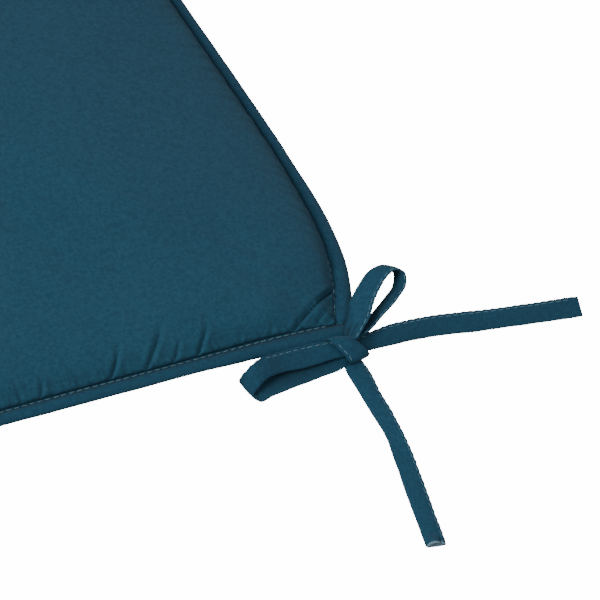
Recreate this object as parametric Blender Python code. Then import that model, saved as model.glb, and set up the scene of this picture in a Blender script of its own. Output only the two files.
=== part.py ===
"""Thin seat pad for a chair: one filled pad, its bound edge and a bow of tape ties at each back corner.

The pad lies on its back. The origin is the middle of its flat underside, +Z is up, the back edge with
the ties is at -Y. Sizes are in millimetres and become metres when a mesh is made.
"""

import math

import bpy
import numpy as np

MM = 0.001

# Outline of the bound edge
PAD_DEPTH = 400.0
CORNER_X = 168.5
SIDE_SHOULDER = 29.0
SHOULDER_RUN = 44.5
SIDE_BOW = 2.5
SIDE_BOW_PEAK = 230.0
BACK_DRAW_IN = 4.4
BACK_DRAW_POWER = 2.6
FRONT_RADIUS = 70.0
FRONT_DRAW_IN = 2.0
SHOULDER_STEPS = (0.0, 5.0, 10.0, 15.0, 20.0, 26.0, 33.0, 41.0, 50.0, 60.0, 72.0, 86.0)
SIDE_START = 100.0
SIDE_STEPS = 17
FRONT_CORNER_STEPS = 9
FRONT_STEPS = 8
BACK_STEPS = (5.0, 11.0, 18.0, 26.0, 35.0, 45.0, 56.0, 68.0, 80.0, 93.0, 106.0, 119.0, 133.0, 150.0)
MITRE_REACH = 45.0

# Filled pad, by inset from the bound edge
SEAM_EDGE_BOTTOM = 3.8
SEAM_EDGE_TOP = 5.2
SEAM_EDGE_INSET = 1.35
SEAM_INSET = 9.6
WALL_RISE = 9.5
WALL_RUN = 4.2
CROWN_RISE = 11.8
CROWN_RUN = 150.0
UNDERSIDE_RUN = 16.0
CORNER_FLAT = 12.0
CORNER_FILL_RUN = 26.0
CORNER_WALL_SHARE = 0.35
TOP_INSETS = (9.6, 10.2, 12.3, 15.0, 19.0, 25.0)
TOP_SHRINKS = (0.95, 0.86, 0.74, 0.58, 0.38, 0.18)
BOTTOM_INSETS = (9.6, 13.0, 18.0, 25.6)
BOTTOM_SHRINKS = (0.9,)

# Tucks gathered at the back seam: place from the corner, lean toward it, depth, width, reach
TUCK_START = 3.0
TUCK_ZONE = 150.0
TUCK_ZONE_FADE = 20.0
TUCKS = (
    {"place": 26.0, "lean": 0.9, "depth": 1.6, "width": 3.2, "reach": 14.0},
    {"place": 58.0, "lean": 0.4, "depth": 0.9, "width": 3.5, "reach": 10.0},
    {"place": 81.0, "lean": 0.8, "depth": 1.3, "width": 3.6, "reach": 14.0},
    {"place": 95.0, "lean": 0.8, "depth": 0.9, "width": 3.2, "reach": 9.0},
    {"place": 108.0, "lean": 0.9, "depth": 1.4, "width": 3.8, "reach": 15.0},
    {"place": 129.0, "lean": 0.8, "depth": 1.1, "width": 3.6, "reach": 12.0},
    {"place": 166.0, "lean": 0.3, "depth": 0.7, "width": 4.0, "reach": 10.0},
)
CORNER_CREASE_DEPTH = 1.8
CORNER_CREASE_WIDTH = 3.5
CORNER_CREASE_REACH = 24.0

# Binding: folded tape round the seam edge, drawn as (inset, height)
BINDING_WIDTH = 9.0
BINDING_SECTION = (
    (9.0, 6.4),
    (1.2, 6.4),
    (0.35, 5.9),
    (0.0, 4.5),
    (0.35, 3.1),
    (1.2, 2.6),
    (9.0, 2.6),
    (9.0, 3.5),
    (0.9, 3.5),
    (0.9, 5.5),
    (9.0, 5.5),
)
PIECE_GAP = 0.35
BINDING_TURN = 24.0

# Ties: folded tape, kept just above the surface that the pad rests on
TIE_THICKNESS = 1.0
REST_GAP = 0.3
STEPS_PER_ROW = 4
SWING_START = 16.0
SWING_FADE = 70.0

# Routes are from the right back corner: x and y along the edges, z up, the tape's width there, and the
# way its width points from seam edge to fold edge, as a compass bearing and a dip below level.
# The plain tie runs from the knot round the loop along the back edge, through the knot to its tail.
PLAIN_TIE = (
    {"x": -7.0, "y": -6.6, "z": 7.1, "width": 8.0, "toward": -90, "dip": 31},
    {"x": -14.0, "y": -5.9, "z": 6.7, "width": 8.6, "toward": -91, "dip": 32},
    {"x": -31.0, "y": -4.9, "z": 5.9, "width": 10.0, "toward": -92, "dip": 34},
    {"x": -44.5, "y": -5.2, "z": 6.5, "width": 10.0, "toward": -86, "dip": 33},
    {"x": -54.0, "y": -6.9, "z": 7.1, "width": 10.0, "toward": -78, "dip": 31},
    {"x": -62.0, "y": -9.3, "z": 7.0, "width": 10.0, "toward": -70, "dip": 24},
    {"x": -67.0, "y": -11.2, "z": 4.2, "width": 10.0, "toward": -70, "dip": 10},
    {"x": -63.0, "y": -12.6, "z": 1.2, "width": 10.0, "toward": -76, "dip": 2},
    {"x": -54.0, "y": -12.4, "z": 0.9, "width": 10.0, "toward": -84, "dip": 0},
    {"x": -43.0, "y": -11.3, "z": 0.9, "width": 10.0, "toward": -84, "dip": 0},
    {"x": -21.5, "y": -9.2, "z": 1.5, "width": 9.5, "toward": -86, "dip": 6},
    {"x": -13.5, "y": -8.4, "z": 2.9, "width": 8.5, "toward": -88, "dip": 16},
    {"x": -6.0, "y": -7.3, "z": 4.7, "width": 7.5, "toward": -90, "dip": 29},
    {"x": 2.0, "y": -6.6, "z": 4.4, "width": 7.5, "toward": -89, "dip": 33},
    {"x": 9.0, "y": -5.6, "z": 3.8, "width": 8.0, "toward": -88, "dip": 36},
    {"x": 19.0, "y": -4.6, "z": 3.9, "width": 9.5, "toward": -91, "dip": 37},
    {"x": 41.5, "y": -5.5, "z": 3.8, "width": 10.0, "toward": -96, "dip": 34},
    {"x": 68.0, "y": -9.8, "z": 3.7, "width": 10.0, "toward": -99, "dip": 33},
    {"x": 95.0, "y": -13.6, "z": 3.6, "width": 10.0, "toward": -97, "dip": 32},
    {"x": 122.5, "y": -17.0, "z": 3.3, "width": 10.0, "toward": -97, "dip": 26},
)

# The wrapping tie: its raised loop, its tail, and the band that it makes round the knot
WRAP_LOOP = (
    {"x": -6.0, "y": -1.4, "z": 9.4, "width": 5.0, "toward": -66, "dip": -20},
    {"x": -1.0, "y": 1.2, "z": 9.4, "width": 7.5, "toward": -62, "dip": -36},
    {"x": 3.0, "y": 5.0, "z": 11.0, "width": 9.5, "toward": -55, "dip": -36},
    {"x": 8.4, "y": 10.7, "z": 12.5, "width": 10.0, "toward": -53, "dip": -30},
    {"x": 15.5, "y": 17.0, "z": 15.0, "width": 10.0, "toward": -61, "dip": -29},
    {"x": 22.0, "y": 21.2, "z": 17.4, "width": 10.0, "toward": -75, "dip": -28},
    {"x": 28.4, "y": 22.2, "z": 18.4, "width": 10.0, "toward": -92, "dip": -38},
    {"x": 32.6, "y": 19.4, "z": 17.0, "width": 10.0, "toward": -100, "dip": -52},
    {"x": 31.4, "y": 14.4, "z": 14.2, "width": 10.0, "toward": -88, "dip": -58},
    {"x": 25.5, "y": 10.0, "z": 11.6, "width": 9.5, "toward": -79, "dip": -52},
    {"x": 15.0, "y": 4.6, "z": 9.6, "width": 7.5, "toward": -75, "dip": -48},
    {"x": 6.5, "y": -0.4, "z": 8.9, "width": 5.5, "toward": -73, "dip": -42},
    {"x": 1.0, "y": -2.1, "z": 8.7, "width": 4.6, "toward": -78, "dip": -14},
    {"x": -3.0, "y": -2.9, "z": 8.6, "width": 4.2, "toward": -90, "dip": 28},
)
WRAP_TAIL = (
    {"x": -4.6, "y": -10.8, "z": 1.3, "width": 7.5, "toward": -6, "dip": -4},
    {"x": -4.6, "y": -16.5, "z": 1.3, "width": 10.0, "toward": -5, "dip": -8},
    {"x": -5.4, "y": -32.0, "z": 1.7, "width": 9.6, "toward": -4, "dip": -14},
    {"x": -6.7, "y": -45.0, "z": 2.3, "width": 9.0, "toward": -7, "dip": -22},
    {"x": -8.6, "y": -56.0, "z": 2.4, "width": 9.0, "toward": -13, "dip": -25},
    {"x": -11.7, "y": -67.5, "z": 1.9, "width": 10.0, "toward": -16, "dip": -16},
    {"x": -16.2, "y": -81.5, "z": 1.5, "width": 10.0, "toward": -17, "dip": -10},
    {"x": -20.6, "y": -98.0, "z": 1.3, "width": 10.0, "toward": -15, "dip": -6},
    {"x": -25.2, "y": -117.5, "z": 1.2, "width": 10.0, "toward": -13, "dip": -5},
)
BAND_CENTRE = (-5.2, -6.9, 5.8)
BAND_HALF_LONG = 7.4
BAND_HALF_TALL = 3.9
BAND_LEAN = 31.0
BAND_WIDTH = 10.0
BAND_SLANT = 2.6
BAND_POWER = 2.3
BAND_THICKNESS = 1.0
BAND_STEPS = 28
LEFT_BOW_SWING = 9.0

# Finishes
PETROL = (0.012, 0.065, 0.102, 1.0)
PETROL_TAPE = (0.012, 0.068, 0.105, 1.0)
CLOTH_ROUGHNESS = 0.85
TAPE_ROUGHNESS = 0.8
SHARP_EDGE = 40.0


def ease(value):
    """0 to 1 with a soft start and end."""
    t = np.clip(value, 0.0, 1.0)
    return t * t * (3.0 - 2.0 * t)


def material(name, colour, roughness):
    """One plain cloth material."""
    made = bpy.data.materials.new(name)
    made.use_nodes = True
    shader = made.node_tree.nodes["Principled BSDF"]
    shader.inputs["Base Color"].default_value = colour
    shader.inputs["Roughness"].default_value = roughness
    shader.inputs["Metallic"].default_value = 0.0
    return made


def piece(name, points, faces, finish):
    """A named object with its place in its mesh, from points in millimetres."""
    mesh = bpy.data.meshes.new(name)
    mesh.from_pydata((np.asarray(points) * MM).tolist(), [], faces)
    mesh.validate()
    mesh.update()
    mesh.materials.append(finish)
    mesh.shade_smooth()
    mesh.set_sharp_from_angle(angle=math.radians(SHARP_EDGE))
    made = bpy.data.objects.new(name, mesh)
    bpy.context.collection.objects.link(made)
    return made


def half_width(y):
    """Half the pad's width at y: it widens over a short shoulder from the back corner, then bows a little."""
    run = np.asarray(y, float) + PAD_DEPTH / 2
    shoulder = SIDE_SHOULDER * np.tanh(run / SHOULDER_RUN)
    bow = SIDE_BOW * (1.0 - ((run - SIDE_BOW_PEAK) / SIDE_BOW_PEAK) ** 2)
    return CORNER_X + shoulder + bow


def back_edge(x):
    """y of the back edge, drawn in between its corners."""
    share = np.clip(np.abs(x) / CORNER_X, 0.0, 1.0)
    return -PAD_DEPTH / 2 + BACK_DRAW_IN * (1.0 - share**BACK_DRAW_POWER)


def right_side():
    """Outline points from the right back corner to the middle of the front edge."""
    near = np.array(SHOULDER_STEPS) - PAD_DEPTH / 2
    far = np.linspace(SIDE_START - PAD_DEPTH / 2, PAD_DEPTH / 2 - FRONT_RADIUS, SIDE_STEPS)
    y = np.concatenate([near, far])
    side = np.stack([half_width(y), y], 1)
    turn = np.linspace(0.0, 0.5 * math.pi, FRONT_CORNER_STEPS)[1:]
    centre = half_width(PAD_DEPTH / 2 - FRONT_RADIUS) - FRONT_RADIUS
    corner_x = centre + FRONT_RADIUS * np.cos(turn)
    corner_y = PAD_DEPTH / 2 - FRONT_RADIUS * (1.0 - np.sin(turn))
    front_x = np.linspace(centre, 0.0, FRONT_STEPS)[1:]
    front_y = PAD_DEPTH / 2 - FRONT_DRAW_IN * np.sin(0.5 * math.pi * (1.0 - front_x / centre)) ** 2
    corner = np.stack([corner_x, corner_y], 1)
    front = np.stack([front_x, front_y], 1)
    return np.concatenate([side, corner, front])


def outline():
    """The whole bound edge, anticlockwise from the right back corner, and the left corner's index."""
    right = right_side()
    left = right[:-1][::-1] * (-1.0, 1.0)
    half = CORNER_X - np.array(BACK_STEPS)
    x = np.concatenate([-half, half[::-1]])
    back = np.stack([x, back_edge(x)], 1)
    return np.concatenate([right, left, back]), len(right) + len(left) - 1


def inset_ways(edge, corners):
    """For each outline point, its move for 1 mm of inset: square to the edge, sliding toward the middle."""
    ahead = np.roll(edge, -1, 0) - edge
    behind = edge - np.roll(edge, 1, 0)
    ahead /= np.linalg.norm(ahead, axis=1)[:, None]
    behind /= np.linalg.norm(behind, axis=1)[:, None]
    along = ahead + behind
    along /= np.linalg.norm(along, axis=1)[:, None]
    outward = np.stack([along[:, 1], -along[:, 0]], 1)
    reach = np.sum(edge * outward, axis=1)
    slide = np.sum(-edge * along, axis=1) / reach
    for index in corners:
        first, second = behind[index], ahead[index]
        sides = np.array([[first[1], -first[0]], [second[1], -second[0]]])
        mitre = np.linalg.solve(sides, [-1.0, -1.0])
        gap = np.linalg.norm(edge - edge[index], axis=1)
        for other in np.flatnonzero(gap < MITRE_REACH):
            share = ease(gap[other] / MITRE_REACH)
            slide[other] = slide[other] * share + (1.0 - share) * np.dot(mitre, along[other])
        outward[index] = -mitre
        slide[index] = 0.0
    return -outward + slide[:, None] * along


def tuck_depth(points, inset):
    """How far the top is drawn down by the tucks and the corner creases at each point."""
    from_corner = CORNER_X - np.abs(points[:, 0])
    rise = inset - SEAM_INSET
    depth = np.zeros(len(points))
    on_back = ease((-points[:, 1] - TUCK_ZONE) / TUCK_ZONE_FADE)
    for tuck in TUCKS:
        off = from_corner - tuck["place"] + tuck["lean"] * rise
        shape = np.exp(-((off / tuck["width"]) ** 2)) * np.exp(-((rise / tuck["reach"]) ** 2))
        depth += tuck["depth"] * shape * on_back
    across = from_corner + (points[:, 1] + PAD_DEPTH / 2)
    crease = np.exp(-(((across - CORNER_CREASE_REACH) / CORNER_CREASE_WIDTH) ** 2))
    return depth + CORNER_CREASE_DEPTH * crease


def corner_fill(points):
    """Share of the filling's height: thin where a back corner is pinched flat, 1 elsewhere."""
    dx = CORNER_X - np.abs(points[:, 0])
    dy = points[:, 1] + PAD_DEPTH / 2
    return ease((np.hypot(dx, dy) - CORNER_FLAT) / CORNER_FILL_RUN)


def top_height(points, inset):
    """Height of the crowned top: a steep wall at the seam, then a slow rise to the middle."""
    rise = max(inset - SEAM_INSET, 0.0)
    wall = WALL_RISE * (1.0 - math.exp(-rise / WALL_RUN))
    crown = CROWN_RISE * math.sin(0.5 * math.pi * min(rise / CROWN_RUN, 1.0))
    fill = corner_fill(points)
    wall_share = CORNER_WALL_SHARE + (1.0 - CORNER_WALL_SHARE) * fill
    tucked = tuck_depth(points, inset) * ease(rise / TUCK_START)
    return SEAM_EDGE_TOP + wall * wall_share + crown * fill - tucked


def bottom_height(inset):
    """Height of the underside: up at the seam, flat on the seat inside it."""
    return SEAM_EDGE_BOTTOM * (1.0 - float(ease((inset - SEAM_INSET) / UNDERSIDE_RUN)))


def pad_piece(edge, ways, finish):
    """One filled solid: rings from the middle of the underside round the seam edge to the top's middle."""
    rings = []
    last_bottom = edge + ways * BOTTOM_INSETS[-1]
    for shrink in BOTTOM_SHRINKS[::-1]:
        rings.append(np.column_stack([last_bottom * shrink, np.zeros(len(edge))]))
    for inset in BOTTOM_INSETS[::-1]:
        flat = edge + ways * inset
        rings.append(np.column_stack([flat, np.full(len(edge), bottom_height(inset))]))
    for height in (SEAM_EDGE_BOTTOM, SEAM_EDGE_TOP):
        flat = edge + ways * SEAM_EDGE_INSET
        rings.append(np.column_stack([flat, np.full(len(edge), height)]))
    for inset in TOP_INSETS:
        flat = edge + ways * inset
        rings.append(np.column_stack([flat, top_height(flat, inset)]))
    inner = edge + ways * TOP_INSETS[-1]
    for shrink in TOP_SHRINKS:
        flat = inner * shrink
        inset = TOP_INSETS[-1] + (1.0 - shrink) * (PAD_DEPTH / 2 - TOP_INSETS[-1])
        rings.append(np.column_stack([flat, top_height(flat, inset)]))
    count = len(edge)
    peak = SEAM_EDGE_TOP + WALL_RISE + CROWN_RISE
    points = np.concatenate(rings + [[[0.0, 0.0, 0.0]], [[0.0, 0.0, peak]]])
    under, over = len(points) - 2, len(points) - 1
    faces = []
    for k in range(len(rings) - 1):
        for i in range(count):
            j = (i + 1) % count
            faces.append((k * count + i, k * count + j, (k + 1) * count + j, (k + 1) * count + i))
    top = (len(rings) - 1) * count
    for i in range(count):
        j = (i + 1) % count
        faces.append((under, j, i))
        faces.append((over, top + i, top + j))
    return piece("pad", points, faces, finish)


def strip(name, sections, finish):
    """A closed strip through equal sections (step, point, xyz), capped at both ends."""
    steps, around = sections.shape[:2]
    faces = []
    for k in range(steps - 1):
        for i in range(around):
            j = (i + 1) % around
            faces.append((k * around + i, k * around + j, (k + 1) * around + j, (k + 1) * around + i))
    faces.append(tuple(range(around))[::-1])
    faces.append(tuple((steps - 1) * around + i for i in range(around)))
    made = piece(name, sections.reshape(-1, 3), faces, finish)
    if signed_volume(made.data) < 0.0:
        made.data.flip_normals()
    return made


def signed_volume(mesh):
    """Volume by the divergence rule, negative where the faces point inwards."""
    mesh.calc_loop_triangles()
    total = 0.0
    for tri in mesh.loop_triangles:
        a, b, c = (mesh.vertices[i].co for i in tri.vertices)
        total += a.dot(b.cross(c)) / 6.0
    return total


def back_binding(finish):
    """Folded tape along the back edge, out to the pad's side edge at both ends."""
    section = np.array(BINDING_SECTION)
    half = np.array(BACK_STEPS[::2]) / CORNER_X
    share = np.concatenate([[-1.0], half - 1.0, [0.0], 1.0 - half[::-1], [1.0]])
    rows = []
    for part in share:
        y = back_edge(part * CORNER_X) + section[:, 0]
        x = part * half_width(y)
        rows.append(np.column_stack([x, y, section[:, 1]]))
    return strip("binding_back", np.array(rows), finish)


def side_binding(edge, ways, left_corner, finish):
    """Folded tape round the other three edges, butted to the back binding at both ends."""
    section = np.array(BINDING_SECTION)
    start_y = back_edge(CORNER_X - BINDING_WIDTH) + BINDING_WIDTH + PIECE_GAP
    ends = np.array([[half_width(start_y), start_y]])
    keep = [i for i in range(1, left_corner) if edge[i, 1] > start_y + 2.0]
    path = np.concatenate([ends, edge[keep], ends * (-1.0, 1.0)])
    move = np.concatenate([[[0.0, 0.0]], ways[keep], [[0.0, 0.0]]])
    ahead = np.gradient(path, axis=0)
    ahead /= np.linalg.norm(ahead, axis=1)[:, None]
    outward = np.stack([ahead[:, 1], -ahead[:, 0]], 1)
    level = np.stack([-np.sign(path[:, 0]), np.zeros(len(path))], 1)
    share = ease((path[:, 1] - start_y) / BINDING_TURN)[:, None]
    way = level * (1.0 - share) - outward * share
    way /= -np.sum(way * outward, axis=1)[:, None]
    rows = []
    for k in range(len(path)):
        here = way[k] if path[k, 1] < start_y + BINDING_TURN else move[k]
        flat = path[k] + here * section[:, :1]
        rows.append(np.column_stack([flat, section[:, 1]]))
    return strip("binding_side", np.array(rows), finish)


def smooth_route(rows):
    """Columns of a route table read off one smooth curve, in equal steps between its rows."""
    table = np.array([list(row.values()) for row in rows], float)
    ways = np.radians(table[:, 4:])
    across = np.stack(
        [
            np.cos(ways[:, 1]) * np.cos(ways[:, 0]),
            np.cos(ways[:, 1]) * np.sin(ways[:, 0]),
            -np.sin(ways[:, 1]),
        ],
        1,
    )
    knots = np.column_stack([table[:, :4], across])
    length = np.concatenate([[0.0], np.cumsum(np.linalg.norm(np.diff(knots[:, :3], axis=0), axis=1))])
    slope = np.gradient(knots, length, axis=0)
    place = np.linspace(0.0, len(rows) - 1.0, (len(rows) - 1) * STEPS_PER_ROW + 1)
    k = np.clip(place.astype(int), 0, len(rows) - 2)
    t = (place - k)[:, None]
    span = (length[k + 1] - length[k])[:, None]
    start, end = knots[k], knots[k + 1]
    leave, arrive = slope[k] * span, slope[k + 1] * span
    return (
        start * (2 * t**3 - 3 * t**2 + 1)
        + leave * (t**3 - 2 * t**2 + t)
        + end * (3 * t**2 - 2 * t**3)
        + arrive * (t**3 - t**2)
    )


def placed(points, side, swing):
    """Points from the right back corner put in the pad's frame, swung about the corner, mirrored for -1."""
    away = ease((np.hypot(points[:, 0], points[:, 1]) - SWING_START) / SWING_FADE)
    angle = np.radians(swing) * away
    x = points[:, 0] * np.cos(angle) - points[:, 1] * np.sin(angle)
    y = points[:, 0] * np.sin(angle) + points[:, 1] * np.cos(angle)
    return np.column_stack([side * (CORNER_X + x), y - PAD_DEPTH / 2, points[:, 2]])


def tape(name, rows, side, swing, finish):
    """Folded tape carried along a route: a flat section as wide and as turned as the route says."""
    route = smooth_route(rows)
    centre, width, across = route[:, :3], route[:, 3], route[:, 4:7]
    run = np.concatenate([[0.0], np.cumsum(np.linalg.norm(np.diff(centre, axis=0), axis=1))])
    along = np.gradient(centre, run, axis=0)
    across /= np.linalg.norm(across, axis=1)[:, None]
    face = np.cross(along, across)
    face /= np.linalg.norm(face, axis=1)[:, None]
    half = across * width[:, None] / 2
    thick = face * TIE_THICKNESS / 2
    lowest = centre[:, 2] - np.abs(half[:, 2]) - np.abs(thick[:, 2])
    centre[:, 2] += np.maximum(REST_GAP - lowest, 0.0)
    corners = [centre - half - thick, centre + half - thick, centre + half + thick, centre - half + thick]
    sections = np.stack([placed(points, side, swing) for points in corners], 1)
    return strip(name, sections, finish)


def band_ring(name, side, finish):
    """The wrap round the knot: a flattened ring of tape, leaning toward the seat's back edge."""
    turn = np.linspace(0.0, 2.0 * math.pi, BAND_STEPS, endpoint=False)
    power = 2.0 / BAND_POWER
    bend_long = np.sign(np.cos(turn)) * np.abs(np.cos(turn)) ** power
    bend_tall = np.sign(np.sin(turn)) * np.abs(np.sin(turn)) ** power
    lean = math.radians(BAND_LEAN)
    downhill = np.array([0.0, -math.cos(lean), -math.sin(lean)])
    uphill = np.array([0.0, -math.sin(lean), math.cos(lean)])
    sides = []
    for end, layer in ((-0.5, 0.0), (0.5, 0.0), (0.5, 1.0), (-0.5, 1.0)):
        long_half = BAND_HALF_LONG - BAND_THICKNESS * layer
        tall_half = BAND_HALF_TALL - BAND_THICKNESS * layer
        ring = bend_long[:, None] * long_half * downhill + bend_tall[:, None] * tall_half * uphill
        shift = end * BAND_WIDTH + BAND_SLANT * bend_long
        ring = ring + np.array(BAND_CENTRE)
        ring[:, 0] += shift
        sides.append(placed(ring, side, 0.0))
    points = np.stack(sides, 1)
    faces = []
    for k in range(BAND_STEPS):
        after = (k + 1) % BAND_STEPS
        for i in range(4):
            j = (i + 1) % 4
            faces.append((k * 4 + i, k * 4 + j, after * 4 + j, after * 4 + i))
    made = piece(name, points.reshape(-1, 3), faces, finish)
    if signed_volume(made.data) < 0.0:
        made.data.flip_normals()
    return made


def fuse(body, helpers):
    """The body takes in its helpers, which stay hidden guides."""
    for helper in helpers:
        union = body.modifiers.new(helper.name, "BOOLEAN")
        union.operation = "UNION"
        union.solver = "EXACT"
        union.use_self = True
        union.object = helper
        helper.hide_render = True
        helper.display_type = "WIRE"


def bow(label, side, swing, finish):
    """The two ties of one corner: the plain one, and the one that wraps the knot."""
    tape(f"tie_plain_{label}", PLAIN_TIE, side, swing, finish)
    wrap = band_ring(f"tie_wrap_{label}", side, finish)
    loop = tape(f"guide_loop_{label}", WRAP_LOOP, side, 0.0, finish)
    tail = tape(f"guide_tail_{label}", WRAP_TAIL, side, swing, finish)
    fuse(wrap, (loop, tail))


def main():
    for old in list(bpy.data.objects):
        bpy.data.objects.remove(old, do_unlink=True)
    cloth = material("pad_cloth", PETROL, CLOTH_ROUGHNESS)
    tape_cloth = material("tape_cloth", PETROL_TAPE, TAPE_ROUGHNESS)
    edge, left_corner = outline()
    ways = inset_ways(edge, (0, left_corner))
    pad_piece(edge, ways, cloth)
    side_binding(edge, ways, left_corner, tape_cloth)
    back_binding(tape_cloth)
    bow("right", 1.0, 0.0, tape_cloth)
    bow("left", -1.0, LEFT_BOW_SWING, tape_cloth)


main()
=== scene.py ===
# %% [markdown]
# # A seat pad with tape bows
#
# The real object is a thin pad for a kitchen chair: a bag of petrol blue cloth with a little filling, its
# edge bound in folded tape of the same cloth, and two tape ties at each back corner, made up as a bow.
#
# The part's solids say where everything is. This cell loads them, and the main pieces made below are drawn
# over them, in the same frame: the pad's flat underside is at height 0 and the tied edge is at -Y.

# %% Load the solids
import math

import bpy
import numpy as np
from mathutils import Matrix


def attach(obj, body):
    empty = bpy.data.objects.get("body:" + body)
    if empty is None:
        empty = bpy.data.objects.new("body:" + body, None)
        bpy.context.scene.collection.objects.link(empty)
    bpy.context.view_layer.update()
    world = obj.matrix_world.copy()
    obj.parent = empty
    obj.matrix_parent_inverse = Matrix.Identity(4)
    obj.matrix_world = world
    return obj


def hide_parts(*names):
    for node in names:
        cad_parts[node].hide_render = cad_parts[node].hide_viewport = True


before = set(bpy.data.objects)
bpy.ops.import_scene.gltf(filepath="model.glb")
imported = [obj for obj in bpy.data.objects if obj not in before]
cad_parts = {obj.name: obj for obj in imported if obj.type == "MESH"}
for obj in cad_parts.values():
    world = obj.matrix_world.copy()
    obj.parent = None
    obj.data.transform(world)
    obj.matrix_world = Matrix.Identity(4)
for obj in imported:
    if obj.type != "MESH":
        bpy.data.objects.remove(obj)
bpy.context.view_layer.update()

print("solids:", sorted(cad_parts))

# %% [markdown]
# ## From a grid of points to a mesh
#
# Every piece is a surface of two parameters: one runs along it, the other across or round it. Numpy works
# out all its points at once, and one helper turns the grid into faces. It also keeps a UV map in metres,
# because a weave has to follow the cloth. Points stay in millimetres until the last moment: they are easier
# to read that way.

# %% Grid to mesh
MM = 0.001
# Share and rate of each sine in a drift.
DRIFT_WAVES = ((1.0, 1.0), (0.6, 2.3), (0.4, 4.1))


def ease(value):
    """0 below 0, 1 above 1, and 3t^2 - 2t^3 between them, so that both ends are soft."""
    t = np.clip(value, 0.0, 1.0)
    return t * t * (3.0 - 2.0 * t)


def bell(value):
    """1 at 0, falling away on both sides as e^(-value^2)."""
    return np.exp(-(value**2))


def drift(run, seed, length):
    """A wandering value between about -1 and 1: three sines of unlike lengths with phases from the seed."""
    phase = np.random.default_rng(seed).uniform(0.0, 2.0 * math.pi, 3)
    turns = np.asarray(run, float) / length
    return 0.5 * sum(share * np.sin(rate * turns + p) for (share, rate), p in zip(DRIFT_WAVES, phase))


def unit(vectors):
    """The same directions with length 1."""
    return vectors / np.linalg.norm(vectors, axis=-1, keepdims=True)


def run_along(points):
    """Distance from the first point, measured along the points."""
    return np.concatenate([[0.0], np.cumsum(np.linalg.norm(np.diff(points, axis=0), axis=1))])


def read_off(places, run, values):
    """Each column of a table of values at places along the run, straight between its rows."""
    return np.stack([np.interp(places, run, column) for column in values.T], -1)


def right_of(ways):
    """The direction on the right of each flat direction."""
    return np.stack([ways[:, 1], -ways[:, 0]], 1)


def tube_faces(rows, columns, loop=False):
    """Faces of a grid whose columns close round, rows too in a loop; and each corner's row and column."""
    row, column = np.meshgrid(np.arange(rows if loop else rows - 1), np.arange(columns), indexing="ij")
    row, column = row.ravel(), column.ravel()
    corner_rows = np.stack([row, row, row + 1, row + 1], 1)
    corner_columns = np.stack([column, column + 1, column + 1, column], 1)
    return (corner_rows % rows) * columns + corner_columns % columns, corner_rows, corner_columns


def tube(grid, run, girth, loop=False):
    """Points, faces and UVs of a tube; an open one gets a middle point at each end to close it."""
    rows, columns = grid.shape[:2]
    faces, at_row, at_column = tube_faces(rows, columns, loop)
    uvs = np.stack([run[at_row], girth[at_column]], 2).reshape(-1, 2)
    points, sizes, corners = grid.reshape(-1, 3), [4] * len(faces), faces.ravel()
    if not loop:
        points = np.concatenate([points, grid[:1].mean(1), grid[-1:].mean(1)])
        near = np.arange(columns)
        after, tip, last = np.roll(near, -1), near * 0 + rows * columns, (rows - 1) * columns
        for cap, place in (((tip, after, near), run[0]), ((tip + 1, last + near, last + after), run[-1])):
            corners = np.concatenate([corners, np.stack(cap, 1).ravel()])
            sizes += [3] * columns
            uvs = np.concatenate([uvs, np.tile([place, girth.mean()], (3 * columns, 1))])
    return points, sizes, corners, uvs


def set_values(thing, **values):
    """Sets the named values of a thing."""
    for key, value in values.items():
        setattr(thing, key, value)
    return thing


def into_scene(name, data):
    """An object for some data, at the origin."""
    made = bpy.data.objects.new(name, data)
    bpy.context.collection.objects.link(made)
    return made


def cloth_piece(name, parts, finish):
    """One object from parts of (points, face sizes, corners, UVs), each part's corners counted from its own
    first point; faces are turned outwards."""
    points, sizes, corners, uvs = (np.concatenate(stack) for stack in zip(*parts))
    firsts = np.cumsum([0] + [len(part[0]) for part in parts[:-1]])
    corners = corners.astype(int) + np.repeat(firsts, [len(part[2]) for part in parts])
    points, sizes = points * MM, sizes.astype(int)
    starts = np.concatenate([[0], np.cumsum(sizes)[:-1]])
    mesh = bpy.data.meshes.new(name)
    for kind, key, values in (
        ("vertices", "co", points), ("loops", "vertex_index", corners), ("polygons", "loop_start", starts)
    ):
        getattr(mesh, kind).add(len(values))
        getattr(mesh, kind).foreach_set(key, values.ravel())
    mesh.uv_layers.new(name="cloth").data.foreach_set("uv", (uvs * MM).ravel())
    mesh.update(calc_edges=True)
    mesh.validate()
    a, b, c = (points[corners[starts + k]] for k in range(3))
    d = points[corners[starts + sizes - 1]]
    if np.sum(a * np.cross(b, c)) + np.sum(a * np.cross(c, d)) < 0.0:
        mesh.flip_normals()
    mesh.shade_smooth()
    mesh.materials.append(finish)
    print(f"{name}: {len(points)} points, {len(sizes)} faces")
    return into_scene(name, mesh)


def keep_values(made, name, values, first=0, rest=0.0):
    """Keeps values on a piece's points, from the first on, for its material; other points get the rest."""
    every = np.full(len(made.data.vertices), rest)
    every[first : first + values.size] = values.ravel()
    made.data.attributes.new(name, "FLOAT", "POINT").data.foreach_set("value", every)


# %% [markdown]
# ## Petrol cloth
#
# The cloth is a plain weave of polyester yarn: matt, with a faint bloom at a grazing angle. It could be
# drawn with a picture of cloth; a pattern worked out in the material is used, as it has no size and no
# seams. The product of two sines makes the over and under of the yarns, stretched noise makes some yarns
# thicker or paler, and a broad noise lets the dye wander a little.
#
# Shade is painted into the cloth's colour: cloth in a tuck, or in its own shade, is drawn darker. How deep
# it lies is kept on the points of the mesh: "rise" is the distance in from the seam, then come "crease_line",
# "crease_weight" and "shade".

# %% The cloth's material
YARN = 0.00052
YARN_NOISE, DYE_NOISE, THREAD_NOISE, PUCKER_NOISE = 900.0, 16.0, 4000.0, 300.0
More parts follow.
